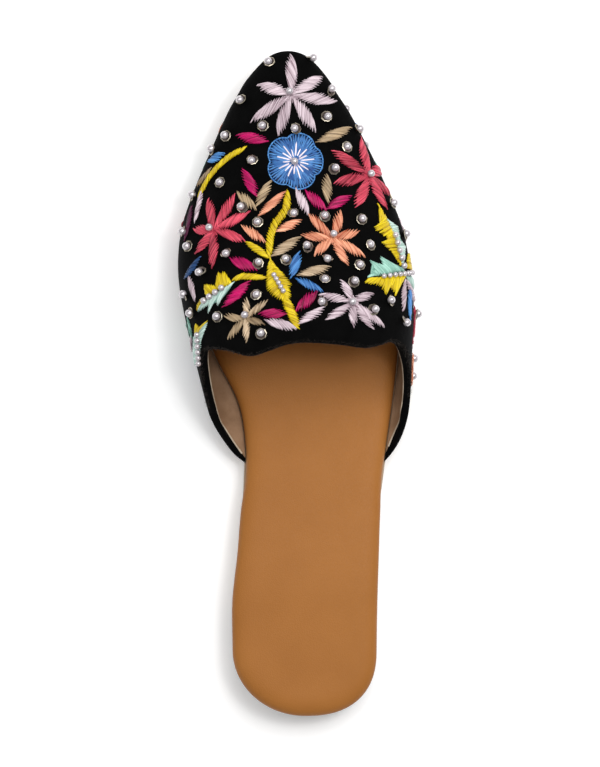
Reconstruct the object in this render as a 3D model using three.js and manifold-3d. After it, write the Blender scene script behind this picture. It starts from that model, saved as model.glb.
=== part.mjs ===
// Right-foot mojari mule: backless, with a closed rounded point at the toe and pearls sewn on the vamp.
// Millimetres, +Z up, toe towards +Y. The inner side of the foot is -X and the outer side is +X.
// While it is modelled, y runs from the back of the heel (0) to the toe (LENGTH), and the floor is z = 0.
import * as THREE from "three";
import { mergeVertices } from "three/addons/utils/BufferGeometryUtils.js";
import Module from "manifold-3d";

const wasm = await Module();
wasm.setup();

// Driving sizes of the whole shoe
const LENGTH = 262; // back of the heel to the toe tip
const GAP = 0.3; // clearance between pieces that meet
const WALL = 2; // velvet, backing and lining together

// Sole and heel
const SOLE_TIP = 257; // toe end of the sole, under the nose of the upper
const SOLE_THICKNESS = 4;
const SOLE_EDGE = 0.8; // chamfer of the sole's edges
const SOLE_BACK_INSET = 0.6; // behind the upper, the sole and heel stay inside the outline by this
const HEEL_HEIGHT = 10; // from the floor to the sole's underside
const HEEL_LENGTH = 43;
const HEEL_TAPER = 1; // how much narrower the heel is at the floor
const ARCH_FROM = 46; // where the underside leaves the heel seat
const TREAD_FROM = 138; // flat part of the tread, on the floor
const TREAD_TO = 204;
const TOE_SPRING = 5.5; // how far the tip is lifted off the floor

// Round ends of the sole's outline
const HEEL_ROUND = 26; // the round of the heel reaches this far forward
const HEEL_CENTRE = 1.8; // x of the heel's middle
const HEEL_OUTER_SQUARE = 2.4; // the heel's round is squarer on the outer side (2 is an ellipse)
const TOE_ROUND = 243; // the round of the toe starts here
const TOE_CENTRE = -5; // x of the toe's middle

// Insole, a padded footbed on the sole
const INSOLE_INSET = 0.7; // from the outline, where the upper stands around it
const INSOLE_EDGE_BACK = 78; // behind here it reaches the outline
const INSOLE_EDGE_FRONT = 96; // in front of here it has its inset
const INSOLE_TIP = 253.8; // its toe end, inside the nose
const INSOLE_PLATE = 4; // thickness over the upper's turned-in margin
const INSOLE_EDGE = 2.4; // radius of its top edge
const INSOLE_CROWN = 1.2; // how far the pad's middle stands above its edge
const FILL_LAP = 1; // how far the filling under it reaches into the plate

// Upper
const FEATHER_INSET = 0.4; // where the upper leaves the sole, inside the sole's outline
const MARGIN = 8; // turned in under the insole
const MARGIN_BACK = 98.8; // the insole is full behind here, with no margin under it
const NOSE_FROM = 247; // the round of the nose starts here
const NOSE_UNDER_FROM = 253; // the nose lifts off the sole from here
const CAVITY_BACK = 13; // the hollow starts this far behind the topline
const TOPLINE_CENTRE = new THREE.Vector3(0, 126, 22); // the cut edge of the wall faces this point

// Pearls
const PEARL_RADIUS = 1.6;
const CENTRE_PEARL_RADIUS = 1.5;
const PEARL_FACETS = 7;
const THREAD_RADIUS = 0.35; // the thread that a row of small pearls is strung on
const THREAD_FACETS = 5;
const SEATING_STEPS = 16; // steps in which a pearl is moved to its spot
const RIB_SAMPLES = 12; // places along a rib where the upper is followed

// Fineness of the sections
const UPPER_ROWS_STRAIGHT = 22;
const ROUND_STEPS = 7;
const PLATE_STEP = 9;
const FIRST_TURN = 4; // degrees from the very end of a round

// The sole's edge on the two sides, at distances from the heel; the round ends are worked out
const SOLE_TABLE = [
  { y: 0, inner: -26.8, outer: 30.0 },
  { y: 26, inner: -26.8, outer: 30.0 },
  { y: 45, inner: -26.9, outer: 30.3 },
  { y: 64, inner: -24.9, outer: 30.9 },
  { y: 80, inner: -23.6, outer: 31.5 },
  { y: 94, inner: -22.3, outer: 32.7 },
  { y: 106, inner: -22.2, outer: 34.4 },
  { y: 123, inner: -25.0, outer: 36.9 },
  { y: 141.5, inner: -34.1, outer: 39.1 },
  { y: 158, inner: -40.3, outer: 40.2 },
  { y: 175, inner: -42.8, outer: 39.0 },
  { y: 190, inner: -41.5, outer: 35.8 },
  { y: 207, inner: -37.0, outer: 30.0 },
  { y: 222, inner: -31.0, outer: 23.4 },
  { y: 238, inner: -24.0, outer: 15.4 },
  { y: 247, inner: -20.6, outer: 11.5 },
  { y: 257, inner: -18.0, outer: 8.0 },
];

// Sections of the upper: widest points, ridge, height of the widest part over the sole, and
// squareness of the arch (2 is an ellipse)
const UPPER_TABLE = [
  { y: 80, inner: -27.0, outer: 36.5, ridge: -1.0, crown: 65.0, bulge: 12.5, square: 2.6 },
  { y: 100, inner: -30.6, outer: 39.2, ridge: -1.0, crown: 64.5, bulge: 12.5, square: 2.6 },
  { y: 120, inner: -36.4, outer: 42.7, ridge: -1.5, crown: 62.5, bulge: 13.0, square: 2.6 },
  { y: 140, inner: -41.5, outer: 43.8, ridge: -2.0, crown: 58.8, bulge: 13.0, square: 2.55 },
  { y: 160, inner: -46.2, outer: 44.5, ridge: -3.0, crown: 53.4, bulge: 12.5, square: 2.45 },
  { y: 176, inner: -48.3, outer: 43.3, ridge: -4.0, crown: 47.2, bulge: 12.0, square: 2.35 },
  { y: 192, inner: -46.9, outer: 40.2, ridge: -4.5, crown: 41.0, bulge: 11.5, square: 2.25 },
  { y: 207, inner: -42.0, outer: 34.5, ridge: -5.0, crown: 36.0, bulge: 11.0, square: 2.2 },
  { y: 222, inner: -35.7, outer: 27.6, ridge: -5.0, crown: 31.8, bulge: 10.5, square: 2.2 },
  { y: 238, inner: -28.6, outer: 19.2, ridge: -5.0, crown: 28.4, bulge: 9.8, square: 2.2 },
  { y: 247, inner: -23.6, outer: 13.4, ridge: -5.0, crown: 26.8, bulge: 9.4, square: 2.2 },
  { y: 256, inner: -19.6, outer: 9.8, ridge: -5.0, crown: 25.4, bulge: 9.0, square: 2.2 },
  { y: 262, inner: -19.4, outer: 9.6, ridge: -5.0, crown: 24.6, bulge: 9.0, square: 2.2 },
];

// The topline, from the inner feather (-90 degrees) over the ridge (90) to the outer feather (270)
const TOPLINE_TABLE = [
  { around: -90, y: 99.5 },
  { around: -60, y: 103.2 },
  { around: -35, y: 109.0 },
  { around: -15, y: 114.5 },
  { around: 0, y: 119.0 },
  { around: 10, y: 125.5 },
  { around: 18, y: 133.0 },
  { around: 25, y: 139.5 },
  { around: 33, y: 143.9 },
  { around: 49, y: 144.0 },
  { around: 63.5, y: 141.7 },
  { around: 75, y: 143.8 },
  { around: 84, y: 146.0 },
  { around: 94, y: 146.9 },
  { around: 110, y: 146.2 },
  { around: 124, y: 144.9 },
  { around: 132, y: 145.9 },
  { around: 140, y: 147.3 },
  { around: 150, y: 145.0 },
  { around: 162, y: 138.5 },
  { around: 171, y: 131.0 },
  { around: 180, y: 122.0 },
  { around: 195, y: 115.0 },
  { around: 215, y: 109.0 },
  { around: 240, y: 104.0 },
  { around: 270, y: 100.0 },
];

// Directions in which the upper's sections have a point, in degrees
const AROUND = [
  270, 247, 224, 202, 180, 171, 162, 151, 140, 132, 124, 116, 108, 100, 92, 84, 76, 69, 62, 55, 48,
  40.5, 33, 25.5, 18, 9, 0, -22, -44, -67, -90,
];

// Single pearls on the vamp, seen from above
const PEARLS = [
  { x: -12.8, y: 257.9 }, { x: 5.1, y: 259.3 }, { x: -24.0, y: 242.7 }, { x: 12.3, y: 247.1 },
  { x: 10.6, y: 236.0 }, { x: -15.2, y: 232.4 }, { x: -2.5, y: 231.3 }, { x: 23.4, y: 231.3 },
  { x: -30.0, y: 228.7 }, { x: 18.3, y: 224.2 }, { x: -35.3, y: 223.5 }, { x: -19.5, y: 218.7 },
  { x: 13.6, y: 215.8 }, { x: -32.0, y: 210.1 }, { x: -42.8, y: 205.3 }, { x: 36.8, y: 202.2 },
  { x: -23.8, y: 200.5 }, { x: -3.0, y: 197.8 }, { x: 9.2, y: 197.0 }, { x: 24.1, y: 195.8 },
  { x: -17.2, y: 194.4 }, { x: -46.7, y: 190.9 }, { x: 41.7, y: 190.0 }, { x: 2.1, y: 185.3 },
  { x: 27.2, y: 185.7 }, { x: -29.6, y: 182.0 }, { x: 10.2, y: 180.0 }, { x: -6.3, y: 179.9 },
  { x: -16.8, y: 178.6 }, { x: 23.0, y: 177.7 }, { x: -40.2, y: 174.7 }, { x: 9.2, y: 172.0 },
  { x: 21.0, y: 171.4 }, { x: -46.4, y: 166.1 }, { x: -17.7, y: 165.9 }, { x: 35.3, y: 163.8 },
  { x: 7.8, y: 163.1 }, { x: 29.0, y: 160.2 }, { x: -43.9, y: 158.6 }, { x: 46.2, y: 158.5 },
  { x: -33.4, y: 157.3 }, { x: 41.5, y: 155.0 }, { x: -16.1, y: 150.8 },
];

// Pearls at the centres of the seven flowers, from the toe back
const FLOWER_CENTRES = [
  { x: -4.4, y: 246.0 }, { x: -2.5, y: 218.3 }, { x: 27.7, y: 213.6 }, { x: -36.1, y: 192.3 },
  { x: 12.7, y: 189.8 }, { x: 20.0, y: 163.1 }, { x: -22.3, y: 157.9 },
];

// Rows of small pearls along the middles of the large leaves
const PEARL_RIBS = [
  { name: "inner_leaf", x: -31.5, y: 168.5, endX: -38.4, endY: 163.5, count: 4, radius: 1.3 },
  { name: "inner_edge_leaf", x: -41.0, y: 150.1, endX: -40.4, endY: 138.8, count: 6, radius: 1.1 },
  { name: "middle_leaf", x: -10.9, y: 173.6, endX: -7.3, endY: 167.3, count: 5, radius: 1.05 },
  { name: "outer_leaf", x: 37.2, y: 189.4, endX: 40.5, endY: 177.3, count: 5, radius: 1.25 },
  { name: "outer_edge_leaf", x: 32.4, y: 173.2, endX: 44.0, endY: 174.6, count: 8, radius: 1.05 },
];

const radians = THREE.MathUtils.degToRad;

// The values of a table at one place, smooth from row to row
function at(table, place, key = "y") {
  const last = table.length - 1;
  const found = table.findIndex((row) => row[key] > place);
  const next = found < 0 ? last : Math.max(found, 1);
  const [a, b] = [table[next - 1], table[next]];
  const before = table[Math.max(next - 2, 0)];
  const after = table[Math.min(next + 1, last)];
  const span = b[key] - a[key];
  const t = THREE.MathUtils.clamp((place - a[key]) / span, 0, 1);
  const values = {};
  for (const name of Object.keys(a)) {
    const leave = ((b[name] - before[name]) / (b[key] - before[key])) * span;
    const arrive = ((after[name] - a[name]) / (after[key] - a[key])) * span;
    const change = b[name] - a[name];
    const bend = (3 - 2 * t) * t * t * change + t * (1 - t) * ((1 - t) * leave - t * arrive);
    values[name] = a[name] + bend;
  }
  return values;
}

// One at the start of a round end, falling to nothing at its tip as an ellipse does
function closing(y, from, to, square = 2) {
  const share = THREE.MathUtils.clamp((y - from) / (to - from), 0, 1);
  return (1 - share ** square) ** (1 / square);
}

// Height of the sole's underside: heel seat, arch, flat tread, toe spring
function underside(y) {
  if (y > TREAD_TO) {
    return TOE_SPRING * ((y - TREAD_TO) / (LENGTH - TREAD_TO)) ** 2;
  }
  return HEEL_HEIGHT * (1 - THREE.MathUtils.smoothstep(y, ARCH_FROM, TREAD_FROM));
}

const soleTop = (y) => underside(y) + SOLE_THICKNESS;

// The two edges of the sole's outline at one place, moved in by an inset
function outline(y, inset, tip = SOLE_TIP - inset) {
  const row = at(SOLE_TABLE, y);
  const innerHeel = closing(HEEL_ROUND - y, 0, HEEL_ROUND - inset);
  const outerHeel = closing(HEEL_ROUND - y, 0, HEEL_ROUND - inset, HEEL_OUTER_SQUARE);
  const toe = closing(y, TOE_ROUND, tip);
  const middle = y < HEEL_ROUND ? HEEL_CENTRE : TOE_CENTRE;
  return {
    inner: middle + (row.inner + inset - middle) * innerHeel * toe,
    outer: middle + (row.outer - inset - middle) * outerHeel * toe,
  };
}

// Behind the upper the footbed reaches the outline and the sole hides under it; in front it is the other way
const inFront = (y) => THREE.MathUtils.smoothstep(y, INSOLE_EDGE_BACK, INSOLE_EDGE_FRONT);
const soleInset = (y) => SOLE_BACK_INSET * (1 - inFront(y));
const insoleInset = (y) => INSOLE_INSET * inFront(y);

// A point of the upper's wall: direction around the section, distance from the heel, depth into the wall
function upperPoint(around, y, inset) {
  const row = at(UPPER_TABLE, y);
  const nose = closing(y, NOSE_FROM, LENGTH - inset);
  const lift = closing(y, NOSE_UNDER_FROM, LENGTH - inset);
  const onOuterSide = around > 90;
  const angle = radians(onOuterSide ? 180 - around : around);
  const feather = outline(y, FEATHER_INSET)[onOuterSide ? "outer" : "inner"];
  const edge = onOuterSide ? row.outer - inset : row.inner + inset;
  const widest = row.ridge + (edge - row.ridge) * nose;
  const seat = soleTop(y) + GAP;
  const waist = seat + row.bulge;
  const [across, up] = [Math.cos(angle), Math.sin(angle)];
  if (angle < 0) {
    const drop = (waist - seat - inset) * lift;
    return new THREE.Vector3(feather + (widest - feather) * across, y, waist + drop * up);
  }
  const reach = (across ** row.square + up ** row.square) ** (-1 / row.square);
  const rise = (row.crown - inset - waist) * nose;
  return new THREE.Vector3(row.ridge + (widest - row.ridge) * across * reach, y, waist + rise * up * reach);
}

// Places in a round end, from its tip to where it starts
function roundStations(tip, start) {
  return Array.from({ length: ROUND_STEPS + 1 }, (unused, step) => {
    const turn = radians(Math.max(FIRST_TURN, (90 * step) / ROUND_STEPS));
    return start + (tip - start) * Math.cos(turn);
  });
}

// Places between two ends, without the ends
function evenStations(from, to) {
  const count = Math.round((to - from) / PLATE_STEP);
  return Array.from({ length: count - 1 }, (unused, step) => from + ((to - from) * (step + 1)) / count);
}

// Places from the round heel end to a straight cut
function backStations(tip, cut) {
  return [...roundStations(tip, HEEL_ROUND), ...evenStations(HEEL_ROUND, cut), cut];
}

// Places from a straight cut to the round toe end
function frontStations(cut, tip) {
  return [cut, ...evenStations(cut, TOE_ROUND), ...roundStations(tip, TOE_ROUND).reverse()];
}

// A closed skin through rings of points that go round the same way, with a fan on each end
function loft(rings, firstMiddle, lastMiddle) {
  const size = rings[0].length;
  const points = [...rings.flat(), firstMiddle ?? middleOf(rings[0]), lastMiddle ?? middleOf(rings.at(-1))];
  const [first, last] = [points.length - 2, points.length - 1];
  const faces = [];
  for (let step = 0; step < size; step += 1) {
    const next = (step + 1) % size;
    for (let row = 0; row < rings.length - 1; row += 1) {
      const [a, b] = [row * size + step, row * size + next];
      const [c, d] = [b + size, a + size];
      faces.push(a, d, c, a, c, b);
    }
    const end = (rings.length - 1) * size;
    faces.push(first, step, next, last, end + next, end + step);
  }
  const geometry = new THREE.BufferGeometry().setFromPoints(points);
  geometry.setIndex(faces);
  return geometry;
}

function middleOf(ring) {
  const sum = ring.reduce((total, point) => total.add(point), new THREE.Vector3());
  return sum.divideScalar(ring.length);
}

function solid(geometry) {
  const bare = geometry.clone();
  bare.deleteAttribute("normal");
  bare.deleteAttribute("uv");
  const merged = mergeVertices(bare, 1e-4);
  return new wasm.Manifold(new wasm.Mesh({
    numProp: 3,
    vertProperties: new Float32Array(merged.attributes.position.array),
    triVerts: new Uint32Array(merged.index.array),
  }));
}

function skin(body) {
  const mesh = body.getMesh();
  const geometry = new THREE.BufferGeometry();
  geometry.setAttribute("position", new THREE.BufferAttribute(mesh.vertProperties, mesh.numProp));
  geometry.setIndex(new THREE.BufferAttribute(mesh.triVerts, 1));
  return geometry;
}

// Section of a flat layer with chamfered edges
function layerRing(y, inset, bottom, top, chamfer) {
  const edge = outline(y, inset);
  const cut = Math.min(chamfer, (edge.outer - edge.inner) / 4);
  return [
    new THREE.Vector3(edge.inner + cut, y, bottom),
    new THREE.Vector3(edge.outer - cut, y, bottom),
    new THREE.Vector3(edge.outer, y, bottom + cut),
    new THREE.Vector3(edge.outer, y, top - cut),
    new THREE.Vector3(edge.outer - cut, y, top),
    new THREE.Vector3(edge.inner + cut, y, top),
    new THREE.Vector3(edge.inner, y, top - cut),
    new THREE.Vector3(edge.inner, y, bottom + cut),
  ];
}

function outsoleGeometry() {
  const backPlaces = backStations(SOLE_BACK_INSET, TREAD_FROM);
  const places = [...backPlaces, ...frontStations(TREAD_FROM, SOLE_TIP).slice(1)];
  return loft(places.map((y) => layerRing(y, soleInset(y), underside(y), soleTop(y), SOLE_EDGE)));
}

// The heel block, flush with the sole above and drawn in a little towards the floor
function heelGeometry() {
  const rings = backStations(SOLE_BACK_INSET, HEEL_LENGTH).map((y) => {
    const edge = outline(y, SOLE_BACK_INSET);
    const shrink = 1 - HEEL_TAPER / HEEL_ROUND;
    const floorY = HEEL_LENGTH - (HEEL_LENGTH - y) * (1 - HEEL_TAPER / HEEL_LENGTH);
    const floorX = (x) => HEEL_CENTRE + (x - HEEL_CENTRE) * shrink;
    return [
      new THREE.Vector3(floorX(edge.inner), floorY, 0),
      new THREE.Vector3(floorX(edge.outer), floorY, 0),
      new THREE.Vector3(edge.outer, y, HEEL_HEIGHT - GAP),
      new THREE.Vector3(edge.inner, y, HEEL_HEIGHT - GAP),
    ];
  });
  return loft(rings);
}

// Section of the footbed's plate: flat below, rounded top edges and a soft crown between them
function insoleRing(y, bottom) {
  const edge = outline(y, insoleInset(y), INSOLE_TIP);
  const middle = (edge.inner + edge.outer) / 2;
  const half = (edge.outer - edge.inner) / 2;
  const round = Math.min(INSOLE_EDGE, half / 2);
  const shoulder = bottom + INSOLE_PLATE;
  const ring = [new THREE.Vector3(edge.inner, y, bottom), new THREE.Vector3(edge.outer, y, bottom)];
  const crown = INSOLE_CROWN * Math.min(1, half / (4 * INSOLE_EDGE));
  for (const turn of [0, 45, 90]) {
    const x = edge.outer - round + round * Math.cos(radians(turn));
    ring.push(new THREE.Vector3(x, y, shoulder - round + round * Math.sin(radians(turn))));
  }
  for (const share of [0.62, 0.3, -0.3, -0.62]) {
    const swell = 1 - (share * half / (half - round)) ** 2;
    ring.push(new THREE.Vector3(middle + share * half, y, shoulder + crown * Math.max(swell, 0)));
  }
  for (const turn of [90, 135, 180]) {
    const x = edge.inner + round + round * Math.cos(radians(turn));
    ring.push(new THREE.Vector3(x, y, shoulder - round + round * Math.sin(radians(turn))));
  }
  return ring;
}

// The footbed lies on the upper's margin in front, and fills the well inside the margin and the heel
function insoleGeometry() {
  const plateBottom = (y) => soleTop(y) + GAP + WALL + GAP;
  const backPlaces = backStations(0, MARGIN_BACK);
  const places = [...backPlaces, ...frontStations(MARGIN_BACK, INSOLE_TIP).slice(1)];
  const plate = loft(places.map((y) => insoleRing(y, plateBottom(y))));
  const fill = (y, inset) => layerRing(y, inset, soleTop(y) + GAP, plateBottom(y) + FILL_LAP, 0);
  const heelFill = loft(backPlaces.map((y) => fill(y, insoleInset(y))));
  const well = FEATHER_INSET + MARGIN + GAP;
  const frontPlaces = frontStations(MARGIN_BACK - FILL_LAP, SOLE_TIP - well);
  const frontFill = loft(frontPlaces.map((y) => fill(y, well)));
  return skin(solid(plate).add(solid(heelFill)).add(solid(frontFill)));
}

// A closed body with the shape of the last, grown or shrunk by an inset, from the topline to the nose
function lastBody(inset, startBehind, startMiddle) {
  const rings = [];
  const ring = (place) => AROUND.map((around) => upperPoint(around, place(around), inset));
  const backOf = (around) => at(TOPLINE_TABLE, around, "around").y - startBehind;
  for (let step = 0; step <= UPPER_ROWS_STRAIGHT; step += 1) {
    const share = step / UPPER_ROWS_STRAIGHT;
    rings.push(ring((around) => THREE.MathUtils.lerp(backOf(around), NOSE_FROM, share)));
  }
  for (const y of roundStations(LENGTH - inset, NOSE_FROM).reverse().slice(1)) {
    rings.push(ring(() => y));
  }
  return loft(rings, startMiddle);
}

// The wall around the last, open at the throat and back, and underneath inside its margin
function upperGeometry() {
  const outside = lastBody(0, 0, TOPLINE_CENTRE);
  const hollowMiddle = TOPLINE_CENTRE.clone().setY(TOPLINE_CENTRE.y - 3 * CAVITY_BACK);
  const hollow = lastBody(WALL, CAVITY_BACK, hollowMiddle);
  const well = FEATHER_INSET + MARGIN;
  const places = frontStations(MARGIN_BACK - CAVITY_BACK, SOLE_TIP - well);
  const opening = loft(places.map((y) => layerRing(y, well, soleTop(y), soleTop(y) + 2 * WALL, 0)));
  return skin(solid(outside).subtract(solid(hollow)).subtract(solid(opening)));
}

// A place on the upper seen from above, and the way it faces there
function onUpper(x, y) {
  let [low, high] = [0, 180];
  for (let step = 0; step < 40; step += 1) {
    const middle = (low + high) / 2;
    if (upperPoint(middle, y, 0).x < x) {
      low = middle;
    } else {
      high = middle;
    }
  }
  const around = (low + high) / 2;
  const point = upperPoint(around, y, 0);
  const [before, after] = [Math.max(around - 1, 0), Math.min(around + 1, 180)];
  const alongGirth = upperPoint(after, y, 0).sub(upperPoint(before, y, 0));
  const alongFoot = upperPoint(around, y + 0.5, 0).sub(upperPoint(around, y - 0.5, 0));
  return { point, facing: alongGirth.cross(alongFoot).normalize() };
}

// The middle of a pearl that stands just off the upper and shows at the given spot from above
function pearlMiddle(spot, radius) {
  const foot = { x: spot.x, y: spot.y };
  const middle = new THREE.Vector3();
  for (let step = 0; step < SEATING_STEPS; step += 1) {
    const { point, facing } = onUpper(foot.x, foot.y);
    middle.copy(point).addScaledVector(facing, radius + GAP);
    foot.x += (spot.x - middle.x) / 2;
    foot.y += (spot.y - middle.y) / 2;
  }
  return middle;
}

// Pearls around the given points; where there are several, a thread runs through them
function pearlGeometry(radius, middles) {
  const pieces = middles.map((middle) => {
    const sphere = new THREE.SphereGeometry(radius, PEARL_FACETS, PEARL_FACETS - 2);
    return solid(sphere.translate(middle.x, middle.y, middle.z));
  });
  for (let step = 1; step < middles.length; step += 1) {
    const way = middles[step].clone().sub(middles[step - 1]);
    const thread = new THREE.CylinderGeometry(THREAD_RADIUS, THREAD_RADIUS, way.length(), THREAD_FACETS);
    const upright = new THREE.Vector3(0, 1, 0);
    const turn = new THREE.Quaternion().setFromUnitVectors(upright, way.clone().normalize());
    const halfway = middles[step - 1].clone().addScaledVector(way, 0.5);
    pieces.push(solid(thread.applyQuaternion(turn).translate(halfway.x, halfway.y, halfway.z)));
  }
  return skin(pieces.reduce((joined, piece) => joined.add(piece)));
}

// Points for the pearls of a rib, evenly spaced along the upper
function ribMiddles(rib) {
  const line = Array.from({ length: RIB_SAMPLES + 1 }, (unused, step) => {
    const x = THREE.MathUtils.lerp(rib.x, rib.endX, step / RIB_SAMPLES);
    const y = THREE.MathUtils.lerp(rib.y, rib.endY, step / RIB_SAMPLES);
    return pearlMiddle({ x, y }, rib.radius);
  });
  return new THREE.CatmullRomCurve3(line).getSpacedPoints(rib.count - 1);
}

const velvet = new THREE.MeshStandardMaterial({ color: 0x0b0b0d, roughness: 0.95, metalness: 0 });
const tanLeather = new THREE.MeshStandardMaterial({ color: 0xac7440, roughness: 0.5, metalness: 0 });
const soleRubber = new THREE.MeshStandardMaterial({ color: 0xb9a083, roughness: 0.7, metalness: 0 });
const heelRubber = new THREE.MeshStandardMaterial({ color: 0x4b3a2c, roughness: 0.7, metalness: 0 });
const pearl = new THREE.MeshStandardMaterial({ color: 0xdcd6da, roughness: 0.25, metalness: 0 });

const shoe = new THREE.Group();

function addPiece(name, geometry, material) {
  const piece = new THREE.Mesh(geometry, material);
  piece.name = name;
  shoe.add(piece);
}

addPiece("heel", heelGeometry(), heelRubber);
addPiece("outsole", outsoleGeometry(), soleRubber);
addPiece("upper", upperGeometry(), velvet);
addPiece("insole", insoleGeometry(), tanLeather);
PEARLS.forEach((spot, index) => {
  const middle = pearlMiddle(spot, PEARL_RADIUS);
  addPiece(`pearl_${String(index + 1).padStart(2, "0")}`, pearlGeometry(PEARL_RADIUS, [middle]), pearl);
});
FLOWER_CENTRES.forEach((spot, index) => {
  const middle = pearlMiddle(spot, CENTRE_PEARL_RADIUS);
  addPiece(`flower_pearl_${index + 1}`, pearlGeometry(CENTRE_PEARL_RADIUS, [middle]), pearl);
});
PEARL_RIBS.forEach((rib) => {
  addPiece(`pearl_rib_${rib.name}`, pearlGeometry(rib.radius, ribMiddles(rib)), pearl);
});

// The origin is on the floor, under the middle of the shoe's box
const box = new THREE.Box3().setFromObject(shoe);
const centre = box.getCenter(new THREE.Vector3());
shoe.position.set(-centre.x, -centre.y, -box.min.z);

export default shoe;
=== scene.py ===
"""Looks of the mojari mule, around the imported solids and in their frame.

Shapes are worked out in the shoe's own chart, in millimetres: y runs from the back of the heel to the toe,
x is negative towards the inner side of the foot, and z is up from the floor.
"""

import math

import bmesh
import bpy
import numpy as np
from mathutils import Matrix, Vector


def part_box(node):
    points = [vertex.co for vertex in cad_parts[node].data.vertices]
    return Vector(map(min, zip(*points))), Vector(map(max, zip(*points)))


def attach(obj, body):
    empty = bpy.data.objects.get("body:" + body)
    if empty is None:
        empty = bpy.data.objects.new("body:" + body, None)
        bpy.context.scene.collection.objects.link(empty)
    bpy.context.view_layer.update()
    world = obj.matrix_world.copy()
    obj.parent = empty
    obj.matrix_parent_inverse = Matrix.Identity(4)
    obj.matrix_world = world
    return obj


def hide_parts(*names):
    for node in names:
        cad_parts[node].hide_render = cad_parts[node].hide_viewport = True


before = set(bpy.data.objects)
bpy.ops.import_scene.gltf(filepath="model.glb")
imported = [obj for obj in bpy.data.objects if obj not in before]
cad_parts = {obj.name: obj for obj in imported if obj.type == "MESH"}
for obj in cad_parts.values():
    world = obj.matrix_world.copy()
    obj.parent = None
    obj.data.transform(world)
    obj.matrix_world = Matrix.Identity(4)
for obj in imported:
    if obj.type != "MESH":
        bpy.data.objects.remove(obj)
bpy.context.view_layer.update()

MM = 0.001
draws = np.random.default_rng(11)

# Sizes that the solids have too
LENGTH = 262.0
GAP = 0.3
WALL = 2.0
SOLE_TIP = 257.0
SOLE_THICKNESS = 4.0
SOLE_EDGE = 0.8
SOLE_BACK_INSET = 0.6
HEEL_HEIGHT = 10.0
HEEL_LENGTH = 43.0
HEEL_TAPER = 1.0
ARCH_FROM = 46.0
TREAD_FROM = 138.0
TREAD_TO = 204.0
TOE_SPRING = 5.5
HEEL_ROUND = 26.0
HEEL_CENTRE = 1.8
HEEL_OUTER_SQUARE = 2.4
TOE_ROUND = 243.0
TOE_CENTRE = -5.0
INSOLE_INSET = 0.7
INSOLE_EDGE_BACK = 78.0
INSOLE_EDGE_FRONT = 96.0
INSOLE_TIP = 253.8
INSOLE_PLATE = 4.0
INSOLE_EDGE = 2.4
INSOLE_CROWN = 1.2
FEATHER_INSET = 0.4
MARGIN = 8.0
MARGIN_BACK = 98.8
NOSE_FROM = 247.0
NOSE_UNDER_FROM = 253.0
PEARL_RADIUS = 1.6
CENTRE_PEARL_RADIUS = 1.5

# Sizes of what only the scene has
VELVET = 0.6
LINING_OUTER_DEPTH = 0.75
LINING_TAPER = 3.0
LINING_BACK = 0.2
PIPING_RADIUS = 0.4
PIPING_BACK = 0.15
PIPING_RISE = 0.05
PAD_EDGE = 9.2
PAD_SQUARE = 2.6
PAD_DROP = 1.2
HEEL_EDGE = 0.6
CUP_RADIUS = 2.35
CUP_RIM = 0.35
CUP_SIDES = 8
CUP_TILT = 0.24
SIDE_PEARL_RADIUS = 1.05

# Threads: sizes of one, how unlike the next it is, and how a stitch is padded and ends
THREAD_WIDTH = 0.52
THREAD_HEIGHT = 0.42
WIDTH_SPREAD = (0.8, 1.2)
END_WIDTH = 0.5
# Each stitch's tone, drawn at random, mixes its thread's shaded and lit colours: partly real unevenness of
# the thread, partly painted shade and highlight
TONE = 0.55
TONE_SPREAD = 0.21
STITCH_POINTS = 6
STITCH_STEP = 0.57
STITCH_JITTER = 0.012
LEAST_STITCH = 0.8
LEAST_COUNT = 5
STITCH_LIFT = 0.5
STITCH_BASE = 0.126
BASE_SPREAD = (-0.06, 0.12)
FULL_PAD_SPAN = 4.0
PAD_POWER = 0.6
RAGGED = 0.5
RAGGED_SPREAD = (-0.2, 1.0)
TEETH = 1.1
START_TEETH = 0.8
# Threads under each satin area take a darker tone: painted shade in the gaps between the stitches over them
UNDERLAY = {"lift": 0.0, "width": 1.0, "ragged": 0.1, "tone": 0.25}
UNDERLAY_STEP = 0.7
UNDERLAY_BAND = (0.2, 0.8)
UNDERLAY_ENDS = (0.06, 0.94)
UNDERLAY_POINTS = 5

# Satin leaves, petals, stems and halves of large leaves
LEAF_POWER = 0.75
LEAF_TURN = (31, 46)
# Each leaf draws one tone between its thread's shaded and lit colours: a painted sheen that differs from
# leaf to leaf
LEAF_TONE = (0.34, 0.76)
LEAF_INSET = 0.5
LEAF_POINTS = 24
TEETH_INSET = 0.22
PETAL_ROOT = 0.08
PETAL_PEAK = 1.12
PETAL_INSET = 1.2
SIDE_PETALS = 7
SIDE_PETAL_WIDTH = 2.8
SIDE_PETAL_ROOT = 0.9
SIDE_PETAL_POINTS = 20
SIDE_PETAL_TURN = 0.2
EYE = {"lift": 0.2, "ragged": 0.6, "tone": 0.5}
EYE_STITCHES = 22
EYE_ROOT = 0.6
EYE_SHARE = 0.78
STEM = {"ragged": 0.4, "teeth": 0.3}
STEM_SLANT = 3.0
STEM_END = 4.0
STEM_END_SHARE = 0.02
STEM_POWER = 0.6
STEM_POINTS = 40
HALF_LEAF = {"slant": 0.04, "teeth": 0.4, "tone": 0.62, "step": 0.45}
HALF_LEAF_INSET = 0.7
HALF_LEAF_POINTS = 120

# Limits of the arithmetic
TINY = 1e-12
LEAST_RISE = 1e-6
HALVINGS = 36
SKIN_BACK = 82.0
SKIN_TIP = LENGTH - 0.6
CHART_BACK = 100.0
CHART_TIP = LENGTH - 0.8
WELD_DISTANCE = 2e-6
LEAST_EDGE = 1e-7
RIGHT, FORWARD, UP = np.eye(3)

# The photograph's scale and place of the shoe, for what is charted in its pixels
PIXEL = 0.511
AXIS_PIXEL = 406.0
HEEL_PIXEL = 640.0

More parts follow.
